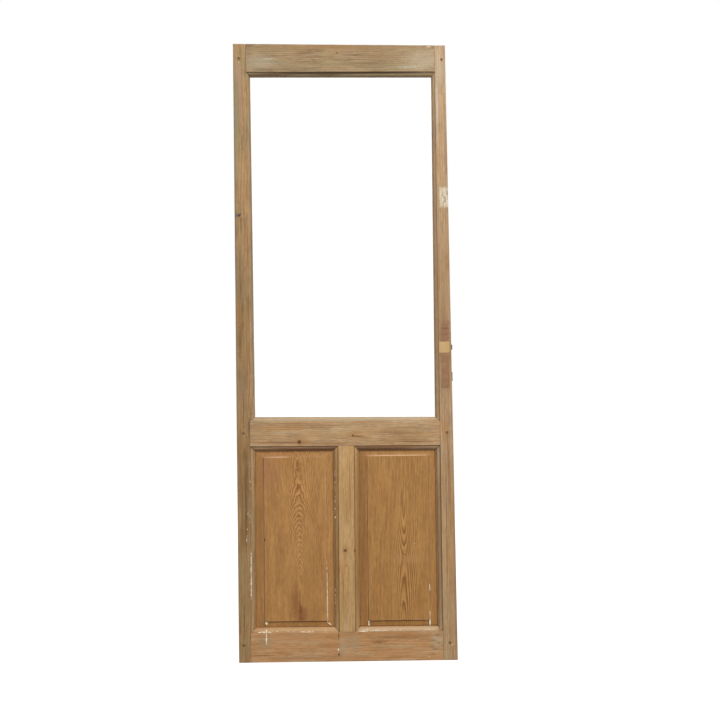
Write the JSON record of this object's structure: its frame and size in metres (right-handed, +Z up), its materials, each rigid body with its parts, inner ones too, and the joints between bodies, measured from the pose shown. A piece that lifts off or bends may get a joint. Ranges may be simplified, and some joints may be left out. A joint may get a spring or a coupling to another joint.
{
  "type": "half-glazed interior door leaf",
  "caption": "Old stripped-pine door leaf: a tall glazed opening over two raised panels, in a pegged and wedged frame with mitred ovolo mouldings.",
  "frame": {"origin": "under the middle of the leaf, at the foot, half-way through its thickness", "axes": "+X across the leaf from the hinge edge to the lock edge, +Y from the front face to the back face, +Z up"},
  "size_m": [0.699, 0.04, 1.976],
  "materials": {
    "stile_wood": "bare stripped pine, matte",
    "rail_wood": "bare stripped pine, matte",
    "muntin_wood": "bare stripped pine, matte",
    "panel_wood": "bare stripped pine, matte",
    "bead_wood": "bare pine, matte",
    "peg_wood": "dark oak, matte",
    "patch_wood": "newer pale wood, matte",
    "glass": "clear sheet",
    "putty": "set linseed putty, matte",
    "pin_steel": "dull",
    "old_iron": "rusted, dull"
  },
  "bodies": {
    "root": {"stile_left": "stile_wood", "stile_right": "stile_wood", "top_rail": "rail_wood", "middle_rail": "rail_wood", "bottom_rail": "rail_wood", "muntin": "muntin_wood", "panel_left": "panel_wood", "panel_right": "panel_wood", "glass_pane": "glass", "glazing_bedding": "putty", "bead_top": "bead_wood", "bead_bottom": "bead_wood", "bead_left": "bead_wood", "bead_right": "bead_wood", "bead_pins": "pin_steel", "tenon_pegs": "peg_wood", "tenon_wedges": "peg_wood", "lock_case": "old_iron", "lock_forend": "old_iron", "latch_tongue": "old_iron", "lock_bolt": "old_iron", "forend_screws": "pin_steel", "spindle_patch": "patch_wood", "cut_nail": "old_iron"}
  },
  "joints": []
}
